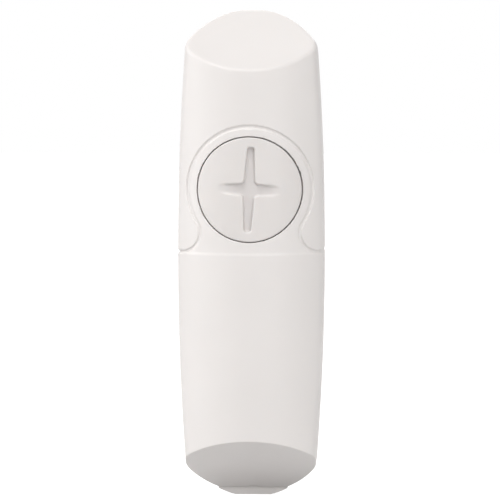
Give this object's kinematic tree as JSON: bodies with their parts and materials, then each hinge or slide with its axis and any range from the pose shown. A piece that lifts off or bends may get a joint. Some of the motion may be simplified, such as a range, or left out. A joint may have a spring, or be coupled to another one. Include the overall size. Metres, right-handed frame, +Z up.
{
  "type": "shock detector",
  "caption": "Slim white wireless shock detector: a hinged cover with bevelled ends and a cross-slot lock disc over a wall-mounted back plate, circuit board and battery.",
  "frame": {"origin": "centre of the back face, which lies flat on the wall", "axes": "+X to the right seen from the front, +Y into the wall, +Z up along the body"},
  "size_m": [0.0332, 0.0245, 0.112],
  "materials": {
    "cover_shell": "white ABS, fine satin",
    "base_plastic": "white ABS, matt",
    "disc_plastic": "slightly translucent white, satin",
    "clear_plastic": "clear acrylic",
    "plated_steel": "zinc plated",
    "nickel_strip": "nickel plated",
    "board_green": "solder resist",
    "black_plastic": "moulded",
    "grey_plastic": "moulded",
    "blue_plastic": "moulded",
    "cell_sleeve": "shrink sleeve on a steel can",
    "tin_plate": "tin plated",
    "capacitor_can": "bare can",
    "yellow_metal": "bare",
    "lead_cover": "insulated wire",
    "chip_ceramic": "fired chips with tinned ends",
    "lamp_lens": "diffused lens"
  },
  "bodies": {
    "base": {"lock_keeper": "plated_steel", "base_tray": "base_plastic", "circuit_board": "board_green", "board_screws": "plated_steel", "battery_cell": "cell_sleeve", "battery_cradle": "black_plastic", "positive_contact": "nickel_strip", "negative_contact": "nickel_strip", "battery_lead": "lead_cover", "sensor_clamp": "grey_plastic", "piezo_beam": "yellow_metal", "seismic_weight": "yellow_metal", "radio_board": "board_green", "shield_can": "tin_plate", "antenna_wire": "tin_plate", "controller_chip": "black_plastic", "crystal_can": "tin_plate", "chip_parts": "chip_ceramic", "reservoir_capacitor": "capacitor_can", "status_lamp": "lamp_lens", "tamper_body": "black_plastic", "tamper_dome": "nickel_strip", "learn_body": "black_plastic", "learn_dome": "nickel_strip", "trimmer_body": "blue_plastic", "jumper_header": "black_plastic", "jumper_pins": "yellow_metal", "jumper_cap": "black_plastic"},
    "cover": {"front_cover": "cover_shell", "light_pipe": "clear_plastic"},
    "lock": {"lock_disc": "disc_plastic", "lock_cam": "plated_steel", "lock_washer": "plated_steel", "lock_screw": "plated_steel"},
    "tamper": {"tamper_plunger": "grey_plastic"},
    "learn": {"learn_cap": "grey_plastic"},
    "trimmer": {"trimmer_rotor": "base_plastic"}
  },
  "joints": [
    {"name": "cover_hinge", "type": "hinge", "parent": "base", "child": "cover", "pos_m": [0, -0.0047, 0.0516], "axis": [-1, 0, 0], "range_deg": [0, 50]},
    {"name": "lock_turn", "type": "hinge", "parent": "cover", "child": "lock", "pos_m": [0, -0.0174, 0.0155], "axis": [0, 1, 0], "range_deg": [0, 180]},
    {"name": "tamper_press", "type": "slide", "parent": "base", "child": "tamper", "axis": [0, 1, 0], "range_m": [0, 0.001], "stiffness_N_per_m": 400},
    {"name": "learn_press", "type": "slide", "parent": "base", "child": "learn", "axis": [0, 1, 0], "range_m": [0, 0.0006], "stiffness_N_per_m": 600},
    {"name": "trimmer_turn", "type": "hinge", "parent": "base", "child": "trimmer", "pos_m": [-0.008, -0.0084, 0.0062], "axis": [0, 1, 0], "range_deg": [0, 270]}
  ]
}
